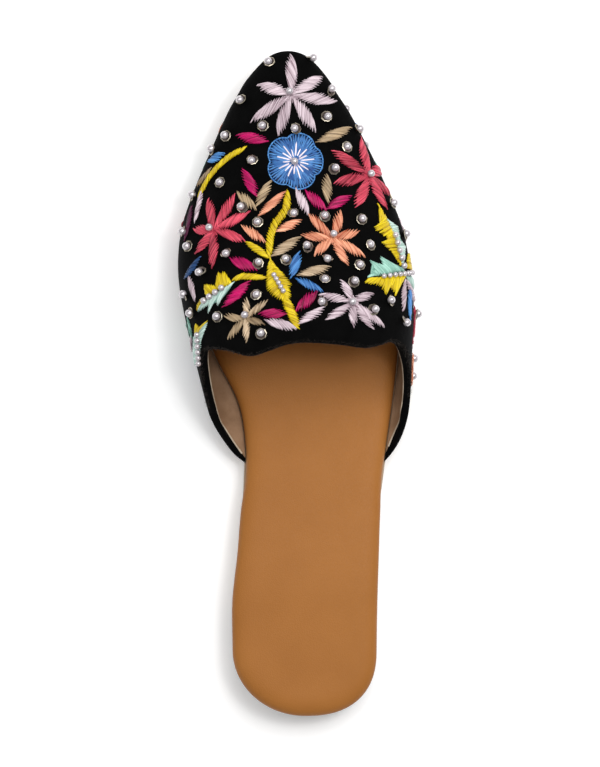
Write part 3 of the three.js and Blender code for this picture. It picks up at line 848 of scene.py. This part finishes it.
def leaf(colour, line, width, peak=1.0, inset=LEAF_INSET):
    """A satin leaf along a line on the skin, pointed at both ends, its stitches slanted towards the tip."""
    length = run_of(line)[-1]
    shares = np.linspace(0, 1, len(line))
    line = along(line, shares * (1 - inset / length))
    half = (width / 2 - TEETH_INSET) * np.sin(math.pi * shares ** peak).clip(0) ** LEAF_POWER
    edges = sides_of(line, half)
    turn = math.radians(draws.uniform(*LEAF_TURN))
    # One tone for the whole leaf: painted sheen
    tone = draws.uniform(*LEAF_TONE)
    slant = width / math.tan(turn) / length
    weave(colour, *edges[::draws.choice((-1, 1))], slant, teeth=TEETH, tone=tone)


def stem(colour, line, width):
    """A satin band along a line on the skin, drawn in at both ends."""
    length = run_of(line)[-1]
    shares = np.linspace(0, 1, len(line))
    from_end = np.minimum(shares, 1 - shares) * length
    half = width / 2 * np.clip(from_end / STEM_END, STEM_END_SHARE, 1) ** STEM_POWER
    weave(colour, *sides_of(line, half), STEM_SLANT / length, **STEM)


def tangent_frame(point):
    around, y = on_skin(point[None])
    normal = skin_normal(around, y)[0]
    forward = unit(FORWARD - normal * normal[1])
    return np.cross(forward, normal), forward


def eye(colour, centre, reach):
    """Short stitches around a flower's pearl, between the roots of its petals."""
    ways = rays(*tangent_frame(centre), full_turn(EYE_STITCHES))
    lay(colour, centre + ways * EYE_ROOT, centre + ways * reach, **EYE)


# Flowers charted in the photograph: colour, width of a petal in millimetres, centre, tips of the petals
FLOWERS = [
    ("lilac", 4.3, (398.5, 161.6), [
        (399, 130.4), (422.6, 147), (434, 167), (418, 190), (387.5, 193), (367, 182), (372.4, 153)]),
    ("crimson", 4.35, (458.5, 224.0), [
        (451.7, 193), (430, 203.7), (430.4, 229), (448.3, 248.8), (472, 250), (474, 237), (469, 217.5)]),
    ("crimson", 3.75, (338.8, 265.8), [
        (334.7, 241.4), (356, 238.2), (367, 252.2), (363.7, 274), (338.2, 296), (325.1, 285), (323, 265.6)]),
    ("coral", 3.5, (430.1, 272.0), [
        (437, 250.6), (410.4, 253.4), (405.5, 270.6), (414.6, 285.3), (441, 293.7), (455.3, 286.4),
        (451, 267.4)]),
    ("lilac", 3.05, (445.2, 321.4), [
        (436.4, 303.6), (460.6, 313.8), (469.7, 339.7), (461, 343), (444.8, 340.8), (424, 336), (419, 315)]),
    ("beige", 2.4, (362.8, 332.5), [(364.6, 317.5), (380.5, 320.3), (364.4, 352.3)]),
    ("tan", 2.7, (362.8, 334.0), [(378, 337.8), (348.7, 349.7), (345.8, 332.3)]),
]

# Single leaves charted in the photograph, by colour: width in millimetres, and the two ends
LEAVES = [
    ("magenta", [
        (4.0, (357.7, 192.5), (380, 198)), (3.8, (362, 219.7), (371, 239.8)),
        (3.7, (409.7, 236.6), (425, 250)), (3.7, (442.7, 239.4), (426, 250)),
        (4.3, (352, 288.5), (371, 295.6)), (3.8, (365.3, 306), (346.5, 325)),
        (3.7, (374.8, 329.6), (393.6, 331)), (4.0, (402, 326.7), (418, 314))]),
    ("tan", [
        (3.8, (419.5, 197.8), (444, 186.6)), (3.5, (426, 224), (425.5, 244)),
        (3.3, (357.6, 238), (371.3, 249)), (3.3, (381.5, 229), (372, 247.7))]),
    ("beige", [(3.8, (384, 286), (404, 271.3)), (3.5, (404.5, 300.8), (427, 293.8))]),
    ("tan", [(2.4, (327.3, 230.5), (337, 218.7))]),
    ("coral", [
        (3.1, (392.4, 237), (374, 255)), (2.9, (361, 263.7), (378.3, 274.5)),
        (3.2, (388, 267), (404.5, 258))]),
    ("lilac", [
        (3.2, (402, 235), (411.8, 253.4)), (2.9, (404, 338), (422.4, 325)), (3.7, (379, 336), (401.3, 341)),
        (2.2, (330, 236), (325, 259)), (2.6, (320.3, 303), (325, 320)), (1.6, (321.8, 347), (322.7, 359))]),
    ("mint", [(2.2, (319.4, 334), (322.3, 347))]),
    ("lilac", [(2.8, (485.5, 304), (484, 327)), (3.7, (487, 305), (493, 318.7))]),
    ("blue", [(3.4, (335.3, 213), (346.5, 206))]),
    ("navy", [(2.4, (328, 287.3), (317, 303))]),
    ("blue", [
        (3.7, (403.4, 284), (398.5, 302.5)), (3.0, (402, 304), (421.7, 312.4)),
        (3.8, (489.4, 311.7), (489, 334))]),
    # This leaf's darker magenta is painted shade on the wall that faces away from the light
    ("magenta_painted_shade", [(2.4, (322, 249), (317.5, 272.6))]),
    ("crimson", [(3.8, (493, 325.7), (493.6, 346.7))]),
    ("coral", [(3.8, (493, 362), (492.6, 384))]),
]

# Stems charted in the photograph: width in millimetres, places along the middle
STEMS = [
    (2.1, [(363.7, 202), (348.6, 211), (336, 224.4), (327.3, 240.7)]),
    (2.6, [(395.4, 235.5), (394.0, 249.6), (385.0, 262.4), (381.5, 275.2), (381.5, 287.0)]),
    (2.5, [(363.7, 275.2), (381, 287.4)]),
    (3.2, [(392, 316.0), (403.2, 341.8)]),
    (2.3, [(379, 302.8), (368, 302), (360, 301.8), (352.8, 304.8)]),
]

# Halves of the large leaves: colour, the side along the pearls, the jagged side
HALF_LEAVES = [
    ("yellow", [(381.5, 287), (386, 302), (393, 320)],
     [(382, 286.5), (379.4, 292), (378.6, 300), (378.6, 307), (378.4, 311.5), (384.5, 318), (392, 320)]),
    ("yellow", [(381.5, 287), (386, 302), (393, 320)],
     [(382, 286.5), (386.4, 292.7), (390.8, 297.4), (394.3, 301.4), (398.2, 307), (397.4, 312.5),
      (398.3, 317.3), (394, 320)]),
    ("yellow", [(352.5, 306.5), (347, 309), (341, 311.5)],
     [(352.2, 305.5), (346.5, 296.9), (344.8, 299.4), (342.3, 297.6), (340.8, 301.5), (340.5, 307)]),
    ("yellow", [(340.5, 311.5), (337, 314), (333, 316.5)],
     [(339.5, 308.2), (331, 307.2), (331.7, 311), (332.3, 314)]),
    ("yellow", [(331.3, 318), (328.5, 322.5), (326.3, 328)], [(329.5, 317.5), (326, 323), (325.4, 328.3)]),
    ("frost", [(354.3, 306.2), (345, 312), (331, 321.5)],
     [(354.3, 306.5), (349.3, 312), (341.5, 324.9), (340.2, 319.8), (334.3, 330.8), (334.8, 323.5),
      (331, 326.6), (326.2, 329), (329.5, 322.5)]),
    ("yellow", [(325, 345.5), (327.2, 345), (329.5, 343.6)],
     [(324.9, 342), (325.2, 337.3), (327.6, 339.8), (334, 335.2)]),
    ("frost", [(328, 345), (326.5, 354), (327, 367)],
     [(334.3, 336.3), (331.2, 345), (329.2, 351), (328.8, 358), (327.6, 368)]),
    ("frost", [(325.5, 347), (325.5, 356), (326.4, 368)], [(323.8, 347), (323.6, 356), (325, 369)]),
    ("yellow", [(464.7, 245.6), (472.9, 258.6), (478.2, 273), (482.5, 293.2)],
     [(465.2, 246), (467.4, 257.6), (466.4, 260.6), (461.2, 263.8), (464.5, 267.4), (473, 272.6),
      (467, 275.3), (475.2, 283), (482, 293.5)]),
    ("yellow", [(488.4, 284), (487.6, 289), (487.3, 295)],
     [(488.8, 283.4), (491, 287.5), (492.2, 292), (491.8, 297)]),
    ("frost", [(472.5, 257.5), (478.6, 273), (483, 291)],
     [(473, 257.5), (481, 263), (482, 272.5), (486.6, 278.3), (485, 291)]),
    ("mint", [(485, 297), (474, 299), (459, 301.5)],
     [(482.5, 295), (466, 285.3), (468, 292), (457.8, 288.6), (461.5, 295), (455.8, 302.5)]),
    ("yellow", [(486, 300), (474, 301.5), (458, 303)],
     [(484.4, 303), (478.4, 317), (474, 309.5), (470.8, 317), (467, 309.5), (453.6, 306.8), (457, 303)]),
    ("frost", [(486, 301.5), (489, 302), (492, 302.5)], [(487, 303), (490, 308), (493, 312)]),
]

# The blue round flower: centre in the photograph, radius in millimetres and its share between the lobes
ROSETTE_CENTRE = (401.2, 212.9)
ROSETTE_RADIUS = 11.8
ROSETTE_VALLEY = 0.8
ROSETTE_LOBES = 5
ROSETTE_TURN = math.radians(144.0)
RAYS = 18
RAY_ENDS = np.where(np.arange(RAYS) % 2, 0.5, 0.68)

# Its stitches from below: colour, count, first turn, unevenness of the turns, twist, both ends as shares of
# the radius, lift, width, raggedness, tone between the lobes and what a lobe adds to it; the lower tone in
# the notches between the lobes is painted shade
ROSETTE_LAYERS = [
    ("deep_blue", 120, 0.0, 0.0, 0.0, 0.6, 0.95, 0.0, THREAD_WIDTH, 0.1, TONE, 0.0),
    ("blue", 84, 0.0, 0.012, 0.05, 0.42, 0.86, 0.25, 0.6, 0.9, 0.02, 0.5),
    # The inner disc's lighter blue is painted sheen
    ("blue_painted_sheen", 60, 0.0, 0.012, 0.05, 0.1, 0.66, 0.25, 0.6, 0.9, 0.02, 0.5),
    ("blue", 58, 0.0, 0.01, 0.02, 0.7, 0.98, 0.4, THREAD_WIDTH, 0.25, 0.5, 0.0),
    ("blue", 58, 0.02, 0.0, 0.115, 0.985, 0.985, 0.3, 0.62, 0.1, 0.6, 0.0),
    ("lilac", 22, 0.0, 0.0, 0.06, 0.12, 0.25, 0.3, 0.5, 0.3, 0.6, 0.0),
    ("white", RAYS, 0.06, 0.0, 0.04, 0.16, RAY_ENDS, 0.5, 0.55, 0.6, 0.8, 0.0),
    ("white", RAYS, 0.14, 0.0, -0.04, 0.16, RAY_ENDS, 0.5, 0.55, 0.6, 0.8, 0.0),
]

# Leaves on the side walls, below what the photograph shows: colour, width, and both ends as directions
# around the section and distances from the heel
SIDE_LEAVES = [
    ("lilac", 4.0, [(203, 166), (222, 160)]), ("magenta", 4.0, [(203, 180), (222, 174)]),
    ("tan", 4.0, [(203, 206), (224, 200)]), ("mint", 4.0, [(204, 218), (226, 212)]),
    ("blue", 3.8, [(202, 233), (224, 228)]), ("yellow", 4.0, [(222, 129), (238, 120)]),
    ("blue", 4.0, [(-30, 142), (-48, 134)]), ("lilac", 4.0, [(-28, 168), (-48, 162)]),
    ("magenta", 4.0, [(-28, 182), (-48, 176)]), ("tan", 4.0, [(-28, 206), (-50, 200)]),
    ("mint", 4.0, [(-28, 219), (-50, 213)]), ("coral", 3.8, [(-28, 233), (-50, 228)]),
]

# Flowers on the side walls: colour, direction and distance of the centre, reach of the petals
SIDE_FLOWERS = [
    ("crimson", 217.0, 150.0, 5.8), ("lilac", 218.0, 191.0, 5.6),
    ("mint", -44.0, 153.0, 5.0), ("crimson", -44.0, 193.0, 5.0),
]

# Pearls that the solids leave out: on the outer wall, some of them bumps in the photograph's outline, as
# directions and distances, and one at the inner outline, as a place in the photograph
SIDE_PEARLS = [(240, 238.6), (239, 224.3), (240, 145.6), (212, 141.0), (212, 134.1)]
EDGE_PEARLS = [(317.8, 278.0)]

# Rows of small pearls along the large leaves, as the solids have them: name, both ends, count, radius
PEARL_RIBS = [
    ("inner_leaf", (-31.5, 168.5), (-38.4, 163.5), 4, 1.3),
    ("inner_edge_leaf", (-41.0, 150.1), (-40.4, 138.8), 6, 1.1),
    ("middle_leaf", (-10.9, 173.6), (-7.3, 167.3), 5, 1.05),
    ("outer_leaf", (37.2, 189.4), (40.5, 177.3), 5, 1.25),
    ("outer_edge_leaf", (32.4, 173.2), (44.0, 174.6), 8, 1.05),
]
RIB_SAMPLES = 12
SEATING_STEPS = 16

for colour, width, centre, tips in FLOWERS:
    eye(colour, spot(centre), width * EYE_SHARE)
    for tip in tips:
        root = centre + np.subtract(tip, centre) * PETAL_ROOT
        leaf(colour, plan([root, tip], LEAF_POINTS), width, PETAL_PEAK, PETAL_INSET)
for colour, group in LEAVES:
    for width, *ends in group:
        leaf(colour, plan(ends, LEAF_POINTS), width)
for width, places in STEMS:
    stem("yellow", plan(places, STEM_POINTS), width)
for colour, rib, jagged in HALF_LEAVES:
    middle, edge = plan(rib, HALF_LEAF_POINTS), plan(jagged, HALF_LEAF_POINTS, straight=True)
    weave(colour, middle, edge - unit(edge - middle) * HALF_LEAF_INSET, **HALF_LEAF)
for colour, width, ends in SIDE_LEAVES:
    leaf(colour, skin(*np.linspace(*ends, LEAF_POINTS).T), width)
for colour, around, y, reach in SIDE_FLOWERS:
    centre = skin(np.array([around]), np.array([y]))[0]
    for way in rays(*tangent_frame(centre), full_turn(SIDE_PETALS) + SIDE_PETAL_TURN):
        petal = centre + way * np.linspace(SIDE_PETAL_ROOT, reach, SIDE_PETAL_POINTS)[:, None]
        leaf(colour, petal, SIDE_PETAL_WIDTH, PETAL_PEAK)

rosette_centre = spot(ROSETTE_CENTRE)
rosette_frame = tangent_frame(rosette_centre)


def rosette_lobe(turns):
    """1 in the middle of a lobe, 0 in the valley between two."""
    return np.abs(np.cos(ROSETTE_LOBES / 2 * (turns - ROSETTE_TURN)))


def rosette_points(turns, share):
    radius = ROSETTE_RADIUS * (ROSETTE_VALLEY + (1 - ROSETTE_VALLEY) * np.sqrt(rosette_lobe(turns))) * share
    return rosette_centre + rays(*rosette_frame, turns) * radius[:, None]


for colour, count, first, uneven, twist, inner, outer, lift, width, ragged, valley, lobe in ROSETTE_LAYERS:
    turns = full_turn(count) + first
    if uneven:
        turns += draws.normal(0, uneven, count)
    starts, ends = rosette_points(turns, inner), rosette_points(turns + twist, outer)
    # Tone lower towards the notches between the lobes: painted shade
    lay(colour, starts, ends, lift, width, ragged, tone=valley + lobe * rosette_lobe(turns))

for colour, laid in stitches.items():
    centres, normals, tones, widths = (np.concatenate(rows) for rows in zip(*laid))
    points, faces = tubes(centres, normals, widths, widths * THREAD_HEIGHT / THREAD_WIDTH)
    make_piece("stitches_" + colour, points, faces, thread_materials[colour],
               tones=np.repeat(tones, len(points) // len(tones)))

# Pearls with their cups

BALL_TURNS, BALL_RINGS = 20, 12


def balls(centres, radii):
    """Round balls as one mesh: points, quads and triangles."""
    polar = (np.pi * np.arange(1, BALL_RINGS) / BALL_RINGS)[:, None, None]
    rings = rays(RIGHT, FORWARD, full_turn(BALL_TURNS)) * np.sin(polar) + UP * np.cos(polar)
    shape = np.concatenate([rings.reshape(-1, 3), [UP, -UP]])
    points = centres[:, None] + shape * radii[:, None, None]
    starts = starts_of(len(points), len(shape))
    size = BALL_RINGS - 1, BALL_TURNS
    return points, starts + grid_quads(*size, ring=True), starts + end_fans(*size)


def node_centres(nodes):
    boxes = [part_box(node) for node in nodes]
    return np.array([(low + high) / 2 for low, high in boxes]) / MM - SHIFT


single_nodes = sorted(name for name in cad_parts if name.removeprefix("pearl_").isdigit())
flower_nodes = sorted(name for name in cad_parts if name.startswith("flower_pearl_"))
rib_nodes = ["pearl_rib_" + name for name, *_ in PEARL_RIBS]


def above_feet(around, y, radius):
    """Middles of pearls that stand just off the upper."""
    return upper_point(around, y, 0) + skin_normal(around, y) * (radius + GAP)


def pearl_feet(x, y, radius):
    """Places on the upper under pearls that show at the given places from above."""
    foot_x, foot_y = np.array(x, float), np.array(y, float)
    for _ in range(SEATING_STEPS):
        middles = above_feet(around_at(foot_x, foot_y), foot_y, radius)
        foot_x += (x - middles[:, 0]) / 2
        foot_y += (y - middles[:, 1]) / 2
    return around_at(foot_x, foot_y), foot_y


single_middles = node_centres(single_nodes)
single_feet = pearl_feet(*single_middles[:, :2].T, PEARL_RADIUS)
edge_feet = pearl_feet(*from_photo(EDGE_PEARLS).T, PEARL_RADIUS)
side_feet = np.array(SIDE_PEARLS, float).T
side_flower_feet = np.array([place for _, *place, _ in SIDE_FLOWERS]).T
groups = [
    (single_middles, PEARL_RADIUS),
    (above_feet(*edge_feet, PEARL_RADIUS), PEARL_RADIUS),
    (skin(*side_feet, PEARL_RADIUS + GAP), PEARL_RADIUS),
    (node_centres(flower_nodes), CENTRE_PEARL_RADIUS),
    (skin(*side_flower_feet, SIDE_PEARL_RADIUS), SIDE_PEARL_RADIUS),
]
for _, start, end, count, radius in PEARL_RIBS:
    line = above_feet(*pearl_feet(*np.linspace(start, end, RIB_SAMPLES + 1).T, radius), radius)
    groups.append((along(line, np.linspace(0, 1, count)), radius))
ball_centres = np.concatenate([middles for middles, radius in groups])
ball_radii = np.concatenate([np.full(len(middles), radius) for middles, radius in groups])
ball_points, ball_quads, ball_caps = balls(ball_centres, ball_radii)
pearls_piece = make_piece("pearls", ball_points, ball_quads, pearl, triangles=ball_caps, weld=True)
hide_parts(*single_nodes, *flower_nodes, *rib_nodes)

# A faceted cup around each single pearl on top, up the outside and down the inside: radius, height over the
# velvet, and 1 where the face that follows has the darker material that paints shade inside the cup
CUP_PROFILE = [(1.0, 0.1, 0), (CUP_RADIUS, 1.45, 0), (CUP_RADIUS - CUP_RIM, 1.6, 1), (0.95, 0.3, 1)]
cup_around, cup_y = np.concatenate([single_feet, edge_feet], axis=1)
cup_count, cup_levels = len(cup_y), len(CUP_PROFILE)
cup_base = skin(cup_around, cup_y)[:, None]
cup_up = unit(skin_normal(cup_around, cup_y) + draws.normal(0, CUP_TILT, (cup_count, 3)))
cup_forward = unit(FORWARD - cup_up * cup_up[:, 1:2])
cup_right = np.cross(cup_forward, cup_up)
cup_turns = draws.uniform(0, math.pi, cup_count)[:, None] + full_turn(CUP_SIDES)
cup_ways = rays(cup_right[:, None], cup_forward[:, None], cup_turns)
cup_points = np.stack([
    cup_base + cup_up[:, None] * height + cup_ways * radius for radius, height, _ in CUP_PROFILE], axis=1)
cup_faces = grid_quads(cup_levels, CUP_SIDES, ring=True, loop=True)
cup_faces = starts_of(cup_count, cup_levels * CUP_SIDES) + cup_faces
cups_piece = make_piece("pearl_cups", cup_points, cup_faces, cup, flat=True)
cups_piece.data.materials.append(cup_painted_shade)
cup_slots = np.repeat([slot for *_, slot in CUP_PROFILE], CUP_SIDES).astype(np.int32)
cups_piece.data.polygons.foreach_set("material_index", np.tile(cup_slots, cup_count))

# Short fibres that stand off the velvet's rolled edge

FUZZ = 1800
FUZZ_AROUND = (4, 176)
FUZZ_BACK = 1.1
FUZZ_SPREAD = 0.35
FUZZ_LENGTH = (0.5, 1.4)
FUZZ_RADIUS = 0.05
FUZZ_BREADTH = 0.87
FUZZ_FACES = np.array([(0, 2, 1), (0, 1, 3), (1, 2, 3), (2, 0, 3)])
fuzz_around = draws.uniform(*FUZZ_AROUND, FUZZ)
fuzz_back = draws.uniform(0.0, FUZZ_BACK, FUZZ)
fuzz_y = rows_at(TOPLINE_TABLE, fuzz_around)[1] + fuzz_back
fuzz_roll = (WALL + rows_at(EDGE_TABLE, fuzz_around)[2]) / 2
fuzz_depth = fuzz_roll - np.sqrt(fuzz_roll ** 2 - np.clip(fuzz_roll - fuzz_back, 0, None) ** 2)
fuzz_root = skin(fuzz_around, fuzz_y, depth=fuzz_depth)
fuzz_way = unit(
    skin_normal(fuzz_around, fuzz_y) * (1 - fuzz_depth / fuzz_roll)[:, None]
    - FORWARD * (FUZZ_BACK - fuzz_back)[:, None] + draws.normal(0, FUZZ_SPREAD, (FUZZ, 3)))
fuzz_tip = fuzz_root + fuzz_way * draws.uniform(*FUZZ_LENGTH, (FUZZ, 1))
fuzz_side = unit(np.cross(fuzz_way, draws.normal(0, 1, (FUZZ, 3)))) * FUZZ_RADIUS
fuzz_other = np.cross(fuzz_way, fuzz_side) * FUZZ_BREADTH
fuzz_points = np.stack([
    fuzz_root + fuzz_side, fuzz_root - fuzz_side / 2 + fuzz_other, fuzz_root - fuzz_side / 2 - fuzz_other,
    fuzz_tip], axis=1)
fuzz_faces = starts_of(FUZZ, len(FUZZ_FACES)) + FUZZ_FACES
make_piece("edge_fuzz", fuzz_points, [], fuzz_hair, triangles=fuzz_faces)

# Floor, light and camera

FLOOR_REACH = 6.0
floor_material, _, floor_shader = new_material("pale_floor")
settle(floor_shader, {
    "Base Color": linear(250, 250, 250), "Roughness": 0.9,
    "Emission Color": (1.0, 1.0, 1.0, 1.0), "Emission Strength": 0.16})
floor_corners = [(x * FLOOR_REACH, y * FLOOR_REACH, 0) for x, y in ((-1, -1), (1, -1), (1, 1), (-1, 1))]
floor_mesh = bpy.data.meshes.new("floor")
floor_mesh.from_pydata(floor_corners, [], [(0, 1, 2, 3)])
floor_mesh.materials.append(floor_material)
floor = bpy.data.objects.new("floor", floor_mesh)
bpy.context.scene.collection.objects.link(floor)

world = bpy.context.scene.world or bpy.data.worlds.new("studio")
bpy.context.scene.world = world
world.use_nodes = True
settle(world.node_tree.nodes["Background"], {"Color": (1.0, 1.0, 1.0, 1.0), "Strength": 0.32})


def soft_light(name, place, size, watts):
    data = bpy.data.lights.new(name, "AREA")
    data.shape = "DISK"
    data.size = size
    data.energy = watts
    lamp = bpy.data.objects.new(name, data)
    lamp.location = place
    lamp.rotation_euler = (-Vector(place)).to_track_quat("-Z", "Y").to_euler()
    bpy.context.scene.collection.objects.link(lamp)


soft_light("key", (0.56, 0.68, 1.54), 1.75, 28.5)
soft_light("spark", (0.4, 0.2, 1.5), 0.25, 3.0)
soft_light("fill", (-0.8, 0.2, 1.5), 1.4, 6.8)

VIEW_TILT = math.radians(0.8)
VIEW_DISTANCE = 5.0
VIEW_HEIGHT = 0.302
SENSOR = 24.0
camera_data = bpy.data.cameras.new("camera")
camera_data.sensor_fit = "VERTICAL"
camera_data.sensor_height = SENSOR
camera_data.lens = SENSOR * VIEW_DISTANCE / VIEW_HEIGHT
camera = bpy.data.objects.new("camera", camera_data)
target = Vector((0.0, 0.0, 0.02))
camera.location = target + Vector((-math.sin(VIEW_TILT), 0.0, math.cos(VIEW_TILT))) * VIEW_DISTANCE
camera.rotation_euler = (0.0, -VIEW_TILT, 0.0)
bpy.context.scene.collection.objects.link(camera)
bpy.context.scene.camera = camera
bpy.context.scene.view_settings.view_transform = "Standard"
